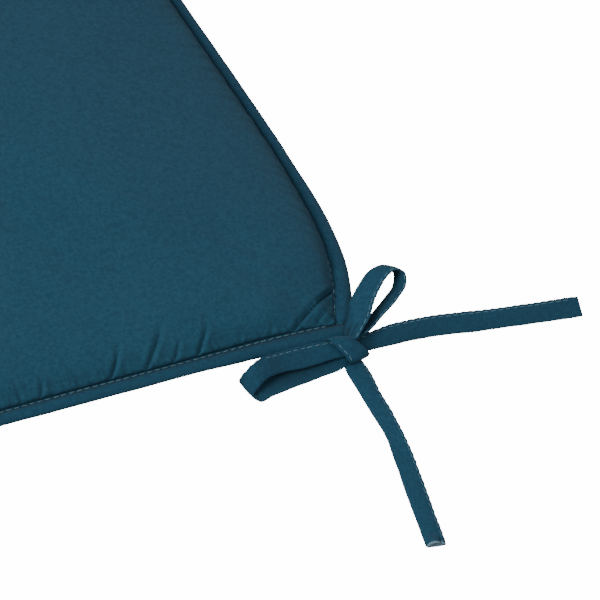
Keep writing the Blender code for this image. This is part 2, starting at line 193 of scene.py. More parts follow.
# The painted shade by a seam reaches 0.9 mm, and further where the pucker noise is over its level.
SEAM_REACH, PUCKER_LEVEL, PUCKER_GAIN, SEAM_SHADE_DEPTH = 0.9, 0.52, 22.0, 0.62
# Reach and weight power of the painted crease shade, and the share of painted tuck shade in the colour.
CREASE_EDGE, CREASE_POWER, TUCK_SHADE_SHARE = 1.3, 1.5, 0.75
# What is left of each primary colour in full shade.
SHADE_TINT = (0.12, 0.3, 0.3)
MIX_FACTOR, MIX_A, MIX_B, MIX_RESULT = 0, 6, 7, 2


def feed(node, inputs):
    """Gives a node's inputs, by name or number, their values: a socket is linked and anything else is set."""
    for key, value in inputs.items():
        if isinstance(value, bpy.types.NodeSocket):
            node.id_data.links.new(value, node.inputs[key])
        else:
            node.inputs[key].default_value = value


def add_node(tree, kind, inputs=None, **settings):
    """A new node with its settings and inputs."""
    made = set_values(tree.nodes.new(kind), **settings)
    feed(made, inputs or {})
    return made


def new_finish(name):
    """A new material, its node tree and its surface."""
    finish = bpy.data.materials.new(name)
    finish.use_nodes = True
    return finish, finish.node_tree, finish.node_tree.nodes["Principled BSDF"]


def maths(operation, *values):
    """One Math node on sockets or numbers, and its result."""
    tree = next(value for value in values if isinstance(value, bpy.types.NodeSocket)).id_data
    return add_node(tree, "ShaderNodeMath", dict(enumerate(values)), operation=operation).outputs[0]


def noise(tree, place, scale, detail, stretch=(1.0, 1.0, 1.0)):
    """Noise from 0 to 1 whose grains are 1/scale metres, longer where stretch is smaller."""
    mapping = add_node(tree, "ShaderNodeMapping", {"Vector": place, "Scale": stretch})
    inputs = {"Vector": mapping.outputs["Vector"], "Scale": scale, "Detail": detail}
    return add_node(tree, "ShaderNodeTexNoise", inputs).outputs["Fac"]


def two_tones(tree, value, deep, pale, ends=(0.0, 1.0)):
    """Colour from the deep tone to the pale one as the value goes from the first end to the second."""
    ramp = add_node(tree, "ShaderNodeValToRGB", {"Fac": value})
    for stop, place, tone in zip(ramp.color_ramp.elements, ends, (deep, pale)):
        set_values(stop, position=place, color=(*tone, 1.0))
    return ramp.outputs["Color"]


def point_value(tree, name):
    """A value kept on the points of the mesh."""
    return add_node(tree, "ShaderNodeAttribute", attribute_name=name).outputs["Fac"]


def painted_tuck_shade(tree, place):
    """Depth in a tuck, 0 to 1, used as painted shade: near a crease's line, or unevenly near the seam."""
    rise, line, weight = (point_value(tree, name) for name in ("rise", "crease_line", "crease_weight"))
    puckers = noise(tree, place, PUCKER_NOISE, 1.0, (0.0, 1.0, 0.0))
    further = maths("MAXIMUM", maths("SUBTRACT", puckers, PUCKER_LEVEL), 0.0)
    reach = maths("ADD", maths("MULTIPLY", further, PUCKER_GAIN), SEAM_REACH)
    near_seam = maths("SUBTRACT", 1.0, maths("DIVIDE", rise, reach))
    near_line = maths("SUBTRACT", 1.0, maths("MULTIPLY", maths("ABSOLUTE", line), CREASE_EDGE))
    near_line = maths("MULTIPLY", maths("MAXIMUM", near_line, 0.0), maths("POWER", weight, CREASE_POWER))
    return maths("MAXIMUM", maths("MULTIPLY", maths("MAXIMUM", near_seam, 0.0), SEAM_SHADE_DEPTH), near_line)


def woven(name, deep, pale, on_tape):
    """Plain weave between two tones: height sin(u) sin(v), tone from uneven yarns and a wandering dye.
    Painted shade, and on the pad painted tuck shade, mix it toward a darker tone."""
    finish, tree, shader = new_finish(name)
    source = add_node(tree, "ShaderNodeTexCoord").outputs
    place = source["UV" if on_tape else "Object"]
    ways = add_node(tree, "ShaderNodeSeparateXYZ", {0: place}).outputs
    warp, weft = (maths("SINE", maths("MULTIPLY", ways[way], math.pi / YARN)) for way in "XY")
    weave = maths("MULTIPLY", warp, weft)
    uneven = noise(tree, place, YARN_NOISE, 2.0, (0.35, 1.0, 1.0))
    crossing = noise(tree, place, YARN_NOISE, 2.0, (1.0, 0.35, 1.0))
    dye = noise(tree, place, DYE_NOISE, 3.0)
    yarns = maths("ADD", uneven, crossing)
    tone = maths("ADD", maths("MULTIPLY", maths("SUBTRACT", yarns, 1.0), 1.25), 0.3)
    tone = maths("ADD", tone, maths("MULTIPLY", dye, 0.4))
    tone = maths("ADD", tone, maths("MULTIPLY", weave, 0.12))
    tones = two_tones(tree, tone, deep, pale, (0.2, 0.8))
    # Painted shade: shade kept on the points, and on the pad the painted tuck shade, darken the colour.
    shade = point_value(tree, "shade")
    if not on_tape:
        shade = maths("MAXIMUM", shade, maths("MULTIPLY", painted_tuck_shade(tree, source["UV"]), TUCK_SHADE_SHARE))
    dark = (*(left * part for left, part in zip(SHADE_TINT, deep)), 1.0)
    mixed = add_node(tree, "ShaderNodeMix", {MIX_FACTOR: shade, MIX_A: tones, MIX_B: dark}, data_type="RGBA")
    height = maths("ADD", weave, maths("MULTIPLY", yarns, 1.4))
    bump = add_node(tree, "ShaderNodeBump", {"Strength": 0.5, "Distance": 0.00012, "Height": height})
    feed(shader, {
        "Base Color": mixed.outputs[MIX_RESULT], "Normal": bump.outputs["Normal"], "Roughness": 0.82,
        "Sheen Weight": 0.12, "Sheen Roughness": 0.45, "Sheen Tint": (0.35, 0.6, 0.75, 1.0),
        "Specular IOR Level": 0.25,
    })
    return finish


pad_cloth = woven("petrol_pad_cloth", (0.0148, 0.0665, 0.1125), (0.0225, 0.091, 0.149), False)
raw_cloth = woven("raw_cloth", (0.13, 0.24, 0.31), (0.27, 0.40, 0.48), True)
tape_cloth = woven("petrol_tape_cloth", (0.0130, 0.060, 0.107), (0.0200, 0.083, 0.142), True)
print("yarns to the centimetre:", round(0.01 / YARN))

# %% [markdown]
# ## Sewing thread
#
# The topstitching is a paler, tightly twisted thread, so thin that only its colour and its rhythm show.
# The finish is plain, with fine grains of light and dark that pass for its twist.

# %% The thread's material
def twisted_thread(name, deep, pale):
    """Two tones in grains of 0.25 mm, the size of the twist's turns."""
    finish, tree, shader = new_finish(name)
    source = add_node(tree, "ShaderNodeTexCoord").outputs["Object"]
    tones = two_tones(tree, noise(tree, source, THREAD_NOISE, 1.0), deep, pale)
    feed(shader, {"Base Color": tones, "Roughness": 0.6})
    return finish


thread = twisted_thread("pale_thread", (0.09, 0.235, 0.28), (0.34, 0.54, 0.60))
print("thread:", thread.name)

# %% [markdown]
# ## The outline of the pad
#
# Seen from above the pad is nearly square. Its back corners are sharp and sit closer together than the
# sides, which swell out over a short shoulder, and the front corners are round. The outline is made of the
# same few curves as the part's solids. Each point also gets a way inwards, square to the edge but sliding a
# little toward the middle, so that lines drawn parallel to the edge never cross.

# %% Outline curves
PAD_DEPTH, CORNER_X = 400.0, 168.5
SHOULDER, SHOULDER_RUN = 29.0, 44.5
SIDE_BOW, SIDE_BOW_RUN, BACK_BOW, FRONT_BOW = 2.5, 230.0, 4.4, 2.0
FRONT_RADIUS, MITRE_REACH = 70.0, 45.0


def half_width(y):
    """Half the pad's width: the corner's, plus a shoulder that follows a tanh, plus a shallow parabola."""
    run = np.asarray(y, float) + PAD_DEPTH / 2
    bow = SIDE_BOW * (1.0 - ((run - SIDE_BOW_RUN) / SIDE_BOW_RUN) ** 2)
    return CORNER_X + SHOULDER * np.tanh(run / SHOULDER_RUN) + bow


def back_edge(x):
    """y of the back edge, drawn in 4.4 mm at its middle."""
    share = np.clip(np.abs(x) / CORNER_X, 0.0, 1.0)
    return -PAD_DEPTH / 2 + BACK_BOW * (1.0 - share**2.6)


def spaced(points, step):
    """The same line with points at equal distances of about one step, its ends kept."""
    run = run_along(points)
    places = np.linspace(0.0, run[-1], max(2, int(round(run[-1] / step)) + 1))
    return read_off(places, run, points)


def bound_edge(step, back_step):
    """Outline anticlockwise from the right back corner, closest at the back; and the left corner's index."""
    y = np.linspace(-PAD_DEPTH / 2, PAD_DEPTH / 2 - FRONT_RADIUS, 500)
    side = np.stack([half_width(y), y], 1)
    turn = np.linspace(0.0, 0.5 * math.pi, 90)[1:]
    centre = side[-1, 0] - FRONT_RADIUS
    corner = np.stack([centre + FRONT_RADIUS * np.cos(turn), y[-1] + FRONT_RADIUS * np.sin(turn)], 1)
    front_x = np.linspace(centre, 0.0, 200)[1:]
    drawn_in = FRONT_BOW * np.sin(0.5 * math.pi * (1.0 - front_x / centre)) ** 2
    front = np.stack([front_x, PAD_DEPTH / 2 - drawn_in], 1)
    near = side[:, 1] < 50.0 - PAD_DEPTH / 2
    close = spaced(side[near], 1.2 * back_step)
    wide = spaced(np.concatenate([close[-1:], side[~near], corner, front]), step)
    right = np.concatenate([close[:-1], wide])
    left = right[:-1][::-1] * (-1.0, 1.0)
    x = np.linspace(-CORNER_X, CORNER_X, 600)
    back = spaced(np.stack([x, back_edge(x)], 1), back_step)[1:-1]
    return np.concatenate([right, left, back]), len(right) + len(left) - 1


def inward_ways(edge, corners):
    """Move of each outline point for 1 mm of inset: square to the edge, plus a slide toward the middle."""
    ahead, behind = unit(np.roll(edge, -1, 0) - edge), unit(edge - np.roll(edge, 1, 0))
    along = unit(ahead + behind)
    outward = right_of(along)
    slide = -np.sum(edge * along, axis=1) / np.sum(edge * outward, axis=1)
    for index in corners:
        mitre = np.linalg.solve(right_of(np.array([behind[index], ahead[index]])), [-1.0, -1.0])
        share = ease(np.linalg.norm(edge - edge[index], axis=1) / MITRE_REACH)
        slide = slide * share + (1.0 - share) * (along @ mitre)
        outward[index], slide[index] = -mitre, 0.0
    return -outward + slide[:, None] * along


EDGE, LEFT_CORNER = bound_edge(1.4, 0.6)
WAYS = inward_ways(EDGE, (0, LEFT_CORNER))
print("outline points:", len(EDGE), "length in mm:", round(run_along(EDGE)[-1]))

# %% [markdown]
# ## The shape of the filled pad
#
# A filled cover stands up steeply from its seam and then rises slowly to the middle. At the back corners
# the filling does not reach the point, and the cloth is pinched nearly flat. Little tucks run up from the
# seam where the cover was eased onto the binding. One function gives the height for a place, and a table
# lists each crease by the two ends of its line.

# %% Heights and creases
SEAM_INSET, TURN_INSET = 9.6, 25.0
# One crease a row: the ends of its line, p from the corner along the back edge and q from the back edge
# into the pad; its valley's depth and half width, and the swell on both sides.
CREASES = (
    # p0, q0, p1, q1, depth, width, swell
    (-9, 28.3, 37, 5.2, 2.4, 0.8, 0.5),
    (6, 15.4, 16.5, 8.6, 1.4, 0.7, 0.4),
    (2, 12.6, 9, 8.4, 0.7, 0.6, 0.2),
    (29, 8, 22, 17, 0.6, 1, 0.3),
    (43, 8, 37, 16, 0.5, 1, 0.3),
    (58.5, 8, 55, 16, 0.5, 1, 0.3),
    (83, 8, 69, 25, 1.6, 0.9, 0.6),
    (96, 8, 87, 19.5, 1.2, 0.9, 0.4),
    (111, 8, 91.5, 29.5, 1.6, 1, 0.6),
    (130, 8, 117.5, 24, 1.6, 0.9, 0.5),
    (166, 8, 161, 19, 0.9, 1.1, 0.3),
)


def back_seam(x):
    """Inset of the seam along the back: 7.5 mm, up to 1.8 mm more beside the corners, for fuller tape."""
    p = CORNER_X - np.abs(x)
    return 7.5 + 1.8 * ease((110.0 - p) / 90.0) * ease((p + 2.0) / 12.0) - 0.5 * (1.0 - ease(p / 8.0))


def side_seam(y):
    """Inset of the seam on the other sides: 9.3 mm, and 1 mm more in the last 60 mm before a back corner."""
    return 9.3 + 1.0 * (1.0 - ease((y + PAD_DEPTH / 2 - 60.0) / 50.0))


def seam_inset(edge, left_corner):
    """Inset of the seam at each station, easing from the back's to the side's within 10 mm of a corner."""
    run = run_along(np.concatenate([edge, edge[:1]]))
    here, left, whole = run[:-1], run[left_corner], run[-1]
    into_side = np.minimum(here, left - here)
    into_side = np.where(here < left, into_side, -np.minimum(whole - here, here - left))
    share = ease((into_side + 10.0) / 20.0)
    return back_seam(edge[:, 0]) * (1.0 - share) + side_seam(edge[:, 1]) * share


def ring_insets(rings, seams):
    """Insets of each ring at each station: the ring's own, shifted with the seam where it is close to it."""
    near_seam = ease((rings - 1.35) / 6.0) * (1.0 - ease((rings - 12.0) / 12.0))
    return rings[:, None] + near_seam[:, None] * (seams - SEAM_INSET)[None]


def crease_relief(p, q):
    """Sum over the creases of a narrow valley, a bell of the distance to its line, between two swells; and
    the nearest crease's distance in widths, with its weight. Each line bows 0.8 mm."""
    relief, line, weight = np.zeros((3, *np.shape(p)))
    for p0, q0, p1, q1, depth, width, swell in CREASES:
        length = math.hypot(p1 - p0, q1 - q0)
        along = (p1 - p0) / length, (q1 - q0) / length
        place = ((p - p0) * along[0] + (q - q0) * along[1]) / length
        off = (p - p0) * along[1] - (q - q0) * along[0] + 0.8 * np.sin(math.pi * place)
        ends = ease((place + 0.12) / 0.25) * ease((1.12 - place) / 0.6)
        valley = depth * bell(off / width)
        sides = swell * bell((np.abs(off) - 2.4 * width) / (1.4 * width))
        relief += ends * (sides - valley)
        here = ends * min(1.0, 0.5 * depth) * (np.abs(off) < 3.0 * width)
        line, weight = np.where(here > weight, off / width, line), np.maximum(here, weight)
    return relief, line, weight


def seam_ripple(run, rise, seed):
    """Puckers with waves of 16, 7 and 4 mm along the seam, none like the next; they fade about 7.5 mm in."""
    rise = np.maximum(rise, 0.0)
    uneven = drift(run, seed, 2.6) * (0.6 + 0.4 * drift(run, seed + 1, 17.0))
    return 0.38 * uneven * bell(rise / 7.5) * ease(rise / 1.2)


def side_streaks(run, rise):
    """Shade in soft hollows that run in from a side seam: about 8 mm apart, 9 to 19 mm long, at most 0.6."""
    hollow = np.maximum(np.sin(run / 1.25 + 1.7 * drift(run, 18, 9.0)), 0.0) ** 2
    fade = bell(np.maximum(rise, 0.0) / (14.0 + 5.0 * drift(run, 19, 5.0)))
    return 0.6 * hollow * (0.6 + 0.4 * drift(run, 20, 13.0)) * fade


def inset_places(edge, ways, insets):
    """Grid of flat places: parallel to the edge for the first 25 mm, then drawn evenly in to the middle."""
    near = np.minimum(insets, TURN_INSET)
    shrink = 1.0 - (insets - near) / (PAD_DEPTH / 2 - TURN_INSET)
    return (edge[None] + ways[None] * near[..., None]) * shrink[..., None]


def top_height(flat, rise):
    """Wall 9 (1 - e^(-(rise/reach)^0.8)), plus crown 12.5 sin, both thinned at the back corners; the wall's
    reach is 4 mm along the back and 2.4 on the other sides, which are fuller."""
    rise = np.maximum(rise, 0.0)
    p, q = CORNER_X - np.abs(flat[..., 0]), flat[..., 1] + PAD_DEPTH / 2
    fill = ease((np.hypot(p, q) - 8.0) / 38.0)
    reach = 4.0 - 1.6 * ease((q - 25.0) / 45.0)
    wall = 9.0 * (1.0 - np.exp(-((rise / reach) ** 0.8))) * (0.5 + 0.5 * fill)
    crown = 12.5 * np.sin(0.5 * math.pi * np.minimum(rise / 150.0, 1.0)) * fill
    return 4.8 + wall + crown


def under_height(rise):
    """3.8 mm at the seam, easing down to the flat that rests on the seat 16 mm further in."""
    return 3.8 * (1.0 - ease(rise / 16.0))


SEAMS = seam_inset(EDGE, LEFT_CORNER)
TOP = np.array([
    1.35, 6, 9.2, 9.6, 9.8, 10.05, 10.35, 10.7, 11.1, 11.6, 12.2, 12.9, 13.7, 14.5, 15.4, 16.4, 17.5, 18.7,
    20, 21.4, 23, 25, 27, 29.2, 31.6, 34.4, 38, 43, 49, 57, 67, 79, 93, 109, 127, 147, 167, 184, 195,
])
UNDER = np.array([1.35, 6, 9.6, 10.6, 12, 14, 16.5, 20, 25.6, 60, 110, 160, 192])
print("rings on top:", len(TOP), "and underneath:", len(UNDER))

# %% [markdown]
# ## Filling the cover
#
# A curve alone makes the pad look turned on a lathe, so a simulation gives it the unevenness of real
# stuffing. A coarse copy of the cover, 0.6 % too roomy, is blown up from inside with its seam and underside
# held. What moved is read off as an offset for each place of the grid and added to the fine surface with
# smooth curves between the coarse points. Gravity is off, as the filling holds the cover up.

# %% Swell the coarse cover
SWELL_CAP, SWELL_SHARE, SWELL_STEPS = 2.6, 0.45, 20
COARSE_TOP = np.array([1.35, 9.6, 12, 15, 19, 25, 31, 38, 46, 55, 65, 77, 90, 105, 122, 140, 158, 176, 190])
COARSE_UNDER = np.array([1.35, 9.6, 25.6, 70, 140])


def catmull(values, places, closed):
    """Values at fractional places along the first axis, on a cubic through the four nearest rows."""
    base = np.floor(places).astype(int)
    t = (places - base).reshape(-1, *[1] * (values.ndim - 1))
    last = len(values) - 1
    pick = [(base + k) % (last + 1) if closed else np.clip(base + k, 0, last) for k in (-1, 0, 1, 2)]
    a, b, c, d = (values[rows] for rows in pick)
    return b + 0.5 * t * (c - a + t * (2 * a - 5 * b + 4 * c - d + t * (3 * (b - c) + d - a)))


def cover_grid(edge, ways, seams, top, under):
    """The closed cover as rings, from the middle of the underside out to the seam and in over the top, whose
    wall bulges 1 mm over the seam."""
    below, above = ring_insets(under[::-1], seams), ring_insets(top, seams)
    flat_below, flat_above = inset_places(edge, ways, below), inset_places(edge, ways, above)
    heights = np.concatenate([under_height(below - seams), top_height(flat_above, above - seams)])
    bulge = bell((above - seams - 0.9) / 0.9) * ease((above - seams) / 0.4)
    flat_above = flat_above - ways[None] * bulge[..., None]
    return np.concatenate([np.concatenate([flat_below, flat_above]), heights[..., None]], 2)


def swell_offsets():
    """Height offsets of the top, one for each coarse ring and station, from a pressure simulation."""
    coarse_edge, corner = bound_edge(6.0, 6.0)
    coarse_ways = inward_ways(coarse_edge, (0, corner))
    seams = seam_inset(coarse_edge, corner)
    grid = cover_grid(coarse_edge, coarse_ways, seams, COARSE_TOP, COARSE_UNDER)
    count, first_top = len(coarse_edge), len(COARSE_UNDER)
    run = np.arange(len(grid), dtype=float)
    slack = cloth_piece("coarse_cover", [tube(grid, run, np.arange(count + 1.0))], pad_cloth)
    held = slack.vertex_groups.new(name="held")
    loose = np.arange((first_top + 2) * count, len(grid) * count)
    held.add(np.setdiff1d(np.arange(len(slack.data.vertices)), loose).tolist(), 1.0, "REPLACE")
    swelling = slack.modifiers.new("swelling", "CLOTH")
    cloth = set_values(swelling.settings, vertex_group_mass="held", use_pressure=True, shrink_min=-0.006)
    set_values(cloth, uniform_pressure_force=4.0, quality=6, bending_stiffness=0.3)
    cloth.effector_weights.gravity = 0.0
    swelling.point_cache.frame_end = SWELL_STEPS
    for step in range(1, SWELL_STEPS + 1):
        bpy.context.scene.frame_set(step)
    blown = slack.evaluated_get(bpy.context.evaluated_depsgraph_get()).to_mesh()
    after = np.empty(3 * len(blown.vertices))
    blown.vertices.foreach_get("co", after)
    heights = after.reshape(-1, 3)[: len(grid) * count, 2].reshape(len(grid), count) / MM
    bpy.context.scene.frame_set(1)
    bpy.data.objects.remove(slack, do_unlink=True)
    return heights[first_top:] - grid[first_top:, :, 2]


def swell_at(moved, insets, count):
    """Offsets for the fine grid, less their mean for each ring, so that the pad keeps its height. They are
    averaged with their neighbours twice and taken at 0.45, as the filling is softer than a pressed skin."""
    even = np.clip(moved - moved.mean(1, keepdims=True), -SWELL_CAP, SWELL_CAP)
    for _ in range(2):
        even = 0.5 * even + 0.25 * (np.roll(even, 1, 1) + np.roll(even, -1, 1))
        even[1:-1] = 0.5 * even[1:-1] + 0.25 * (even[:-2] + even[2:])
    even = SWELL_SHARE * even
    by_ring = catmull(even, np.interp(insets, COARSE_TOP, np.arange(len(COARSE_TOP))), False)
    fade = ease((insets - SEAM_INSET) / 10.0)[:, None]
    return fade * catmull(by_ring.T, np.linspace(0.0, moved.shape[1], count, endpoint=False), True).T


pad_swell = swell_at(swell_offsets(), TOP, len(EDGE))
print("swell in mm:", round(pad_swell.min(), 2), "to", round(pad_swell.max(), 2))

# %% [markdown]
# ## The pad
#
# The fine cover is the same surface with its rings close at the seam, where the tucks are, and wide apart
# in the middle. A remeshed or subdivided box would spend its points evenly and lose the creases.

# %% The filled pad
def filled_pad():
    """The fine cover: heights by the rules above, plus swell, puckers and slow hollows; its rise, creases and
    streaks of shade are kept on its points."""
    grid = cover_grid(EDGE, WAYS, SEAMS, TOP, UNDER)
    run = run_along(EDGE)
    above, below = grid[len(UNDER):], grid[: len(UNDER)]
    rise = ring_insets(TOP, SEAMS) - SEAMS
    x, y = above[..., 0], above[..., 1]
    p, q = CORNER_X - np.abs(x), y + PAD_DEPTH / 2
    relief, line, weight = crease_relief(p, q)
    shown = ease(rise / 1.5) * ease((60.0 - q) / 20.0)
    hollows = 0.45 * np.sin(x / 31.0 + 1.3 * np.sin(y / 47.0)) * np.sin(y / 37.0 + 0.9)
    inner = ease((TOP - 14.0) / 40.0)[:, None]
    on_side = 1.0 + 0.8 * ease((q - 25.0) / 30.0)
    above[..., 2] += pad_swell + relief * shown + on_side * seam_ripple(run[None], rise, 3) + inner * hollows
    below[..., 2] += np.abs(seam_ripple(run[None], ring_insets(UNDER[::-1], SEAMS) - SEAMS, 8))
    rings = np.arange(len(grid), dtype=float)
    pad = cloth_piece("seat_pad", [tube(grid, rings, np.append(run, 0.0))], pad_cloth)
    first = len(UNDER) * len(EDGE)
    # Painted shade: streaks by the side seams. Rise and creases also set the painted tuck shade.
    streaks = side_streaks(run[None], rise) * ease((q - 30.0) / 30.0)
    keep_values(pad, "rise", rise, first, 50.0)
    keep_values(pad, "crease_line", line, first, 9.0)
    keep_values(pad, "crease_weight", weight * shown, first)
    keep_values(pad, "shade", streaks, first)
    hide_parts("pad")
    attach(pad, "root")
    return pad


seat_pad = filled_pad()

# %% [markdown]
# ## Rows of stitches
#
# Topstitching could be painted on, but it catches the light as little ridges, so each stitch is a short
# thread of its own: a five-sided tube, bowed up in its middle and diving into the cloth at both ends. All
# the stitches of a row are worked out in one array.

# %% One row of stitches
STITCH_SIDES = 5
STITCH_STEPS = np.linspace(-1.0, 1.0, 5)
STITCH_BOW = np.array([-0.55, 0.25, 0.5, 0.25, -0.55])
STITCH_THICK = np.array([0.55, 1.0, 1.0, 1.0, 0.55])
STITCH_SHARE = 0.7


def stitch_row(line, up, pitch, seed, radius):
    """Tubes for one row: centres every pitch along the line, each tube set along it and arched along up."""
    run = run_along(line)
    rng = np.random.default_rng(seed)
    count = max(1, int(run[-1] / pitch) - 1)
    centre = (np.arange(count) + 0.8) * pitch + rng.uniform(-0.05, 0.05, count) * pitch
    half = 0.5 * pitch * (STITCH_SHARE + rng.uniform(-0.05, 0.05, count))
    places = centre[:, None] + half[:, None] * STITCH_STEPS
    at, rise = read_off(places, run, line), unit(read_off(places, run, up))
    sideways = np.cross(unit(np.gradient(at, axis=1)), rise)
    at = at + rise * (radius * STITCH_BOW)[:, None]
    at = at + sideways * (rng.uniform(-0.12, 0.12, count)[:, None] * STITCH_STEPS)[..., None]
    turn = np.arange(STITCH_SIDES)[:, None] * 2.0 * math.pi / STITCH_SIDES
    ring = rise[:, :, None] * np.cos(turn) + sideways[:, :, None] * np.sin(turn)
    return at[:, :, None] + ring * (radius * STITCH_THICK)[:, None, None]


def both_faces(over, under, up, pitch, seed, proud, radius):
    """Two rows, one on each face of a tape, each a touch proud of its face."""
    upper = stitch_row(over + proud * up, up, pitch, seed, radius)
    return [upper, stitch_row(under - proud * up, -up, pitch, seed + 1, radius)]


def stitch_parts(points):
    """Faces of many short tubes at once, with flat ends."""
    count, steps = points.shape[:2]
    faces, _, _ = tube_faces(steps, STITCH_SIDES)
    offsets = np.arange(count)[:, None, None] * steps * STITCH_SIDES
    start = np.arange(STITCH_SIDES)
    ends = np.stack([start[::-1], start + (steps - 1) * STITCH_SIDES])
    sizes = [4] * (len(faces) * count) + [STITCH_SIDES] * (2 * count)
    corners = np.concatenate([(faces + offsets).ravel(), (ends + offsets).ravel()])
    return points.reshape(-1, 3), sizes, corners, np.zeros((len(corners), 2))


def stitches(name, rows):
    """One object for several rows of stitches."""
    made = cloth_piece(name, [stitch_parts(points) for points in rows], thread)
    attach(made, "root")
    return made


print("sides of a stitch:", STITCH_SIDES)

# %% [markdown]
# ## The bound edge
#
# The edge is finished with tape folded round it. Its section is a U: two leaves and a round nose, fuller
# between the nose and the stitching, and pinched down along the stitch line. Carried round the outline, it
# breathes with each stitch and wanders slightly, as sewn tape does.

# %% Section of the binding
# Each point of the section: inset from the outer edge, height, how far the stitches pull it.
BINDING = np.array([
    (9, 5.2, 0.4), (8.8, 5.4, 0.7), (8.5, 5.3, 0.9), (8.2, 5.1, 1), (7.8, 5.15, 0.8), (7, 5.6, 0.4),
    (5.6, 6.4, 0.2), (3.9, 6.6, 0.1), (2.3, 6.3, 0), (1.2, 5.8, 0), (0.45, 5.3, 0), (0.05, 4.75, 0),
    (0, 4.2, 0), (0.2, 3.55, 0), (0.7, 2.9, 0), (1.5, 2.45, 0), (3.4, 2.15, 0.1), (5.6, 2.2, 0.2),
    (7.4, 2.4, 0.5), (8.2, 2.75, 1), (8.6, 2.55, 0.9), (9, 2.75, 0.5), (9, 3.5, 0), (4, 3.5, 0),
    (0.9, 3.5, 0), (0.6, 4.2, 0), (0.9, 4.9, 0), (4, 4.9, 0), (9, 4.9, 0),
])
TOP_STITCH, UNDER_STITCH = 3, 19
BACK_PITCH, SIDE_PITCH = 4.2, 4.6
# Painted shade of the groove along the stitching, for each point of the section.
GROOVE_SHADE = np.zeros(len(BINDING))
GROOVE_SHADE[3:7] = (0.55, 0.75, 0.50, 0.12)


def binding_grid(path, moves, width, pitch, seed):
    """Section carried along a path: place = path + move x inset, breathing 0.16 mm at the stitch pitch."""
    run = run_along(path)
    inset, height, pull = BINDING.T
    inset = inset * width[:, None] / 9.0
    wander = 0.22 * drift(run, seed, 16.0)[:, None] * ease(1.0 - inset / width[:, None])
    lift = 0.25 * drift(run, seed + 1, 23.0)[:, None]
    breath = 0.16 * np.cos(2.0 * math.pi * run / pitch)[:, None] * pull
    flat = path[:, None] + moves[:, None] * (inset + wander)[..., None]
    side = np.where(height > 4.5, 1.0, -1.0)
    z = height + lift * ease(1.0 - inset / 9.5) + breath * side - 0.1 * pull * side
    return np.concatenate([flat, np.broadcast_to(z, flat.shape[:2])[..., None]], 2), run


def girth_of(section):
    """Distance round a closed section, starting and ending at its first point."""
    return run_along(np.concatenate([section, section[:1]]))


def dress_binding(name, node, grid, run, pitch, seed, groove):
    """Mesh and stitches of one length of binding; groove is how deep the groove's shade is."""
    made = cloth_piece(name, [tube(grid, run, girth_of(BINDING[:, :2]))], tape_cloth)
    keep_values(made, "shade", groove[:, None] * GROOVE_SHADE)
    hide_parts(node)
    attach(made, "root")
    up = np.tile([0.0, 0.0, 1.0], (len(grid), 1))
    rows = both_faces(grid[:, TOP_STITCH], grid[:, UNDER_STITCH], up, pitch, seed, 0.08, 0.13)
    sewn = stitches(name + "_stitches", rows)
    return made


print("points round the binding's section:", len(BINDING))

# %% The back binding
def back_strip():
    """Along the back edge, with insets straight into the pad and ends that follow the sides."""
    share = np.linspace(-1.0, 1.0, 340)
    path = np.stack([share * CORNER_X, back_edge(share * CORNER_X)], 1)
    moves = np.tile([0.0, 1.0], (len(path), 1))
    grid, run = binding_grid(path, moves, back_seam(path[:, 0]) - 0.3, BACK_PITCH, 21)
    grid[..., 0] = share[:, None] * half_width(grid[..., 1])
    return dress_binding("back_binding", "binding_back", grid, run, BACK_PITCH, 31, np.ones(len(run)))


back_binding = back_strip()

# %% The side binding
def side_strip():
    """Round the other three edges, from just inside the back strip at one corner to the other."""
    start_y = back_edge(CORNER_X - 5.0) + back_seam(CORNER_X - 5.0) - 0.6
    keep = (np.arange(len(EDGE)) < LEFT_CORNER) & (EDGE[:, 1] > start_y + 1.0)
    ends = np.array([[half_width(start_y), start_y]])
    path = np.concatenate([ends, EDGE[keep], ends * (-1.0, 1.0)])
    ahead = unit(np.gradient(path, axis=0))
    outward = right_of(ahead)
    level = np.stack([-np.sign(path[:, 0]), np.zeros(len(path))], 1)
    share = ease((path[:, 1] - start_y) / 24.0)[:, None]
    way = level * (1.0 - share) - outward * share
    way /= -np.sum(way * outward, axis=1)[:, None]
    moves = np.concatenate([way[:1], WAYS[keep], way[-1:]])
    moves = np.where(path[:, 1:] < start_y + 24.0, way, moves)
    grid, run = binding_grid(path, moves, side_seam(path[:, 1]) - 0.3, SIDE_PITCH, 25)
    end_dip = 0.8 * (1.0 - ease(np.minimum(run, run[-1] - run) / 3.5))
    grid[..., 2] -= end_dip[:, None] * (BINDING[:, 1] > 4.2)
    # The painted groove shade is weaker near the back corner.
    groove = 0.2 + 0.6 * ease((path[:, 1] - start_y - 30.0) / 60.0)
    return dress_binding("side_binding", "binding_side", grid, run, SIDE_PITCH, 41, groove)


side_binding = side_strip()

# %% [markdown]
# ## The ties
#
# Each tie is a strip of cloth folded to 10 mm and stitched along one edge, so it has a soft fold on one
# side and a thin, slightly puckered seam on the other. It is a flat section carried along a route, whose
# table holds the tape's place, its width there, and which way the width points; a smooth curve runs through
# the rows. In the knot the tape is squeezed narrow, and it opens out again outside it.

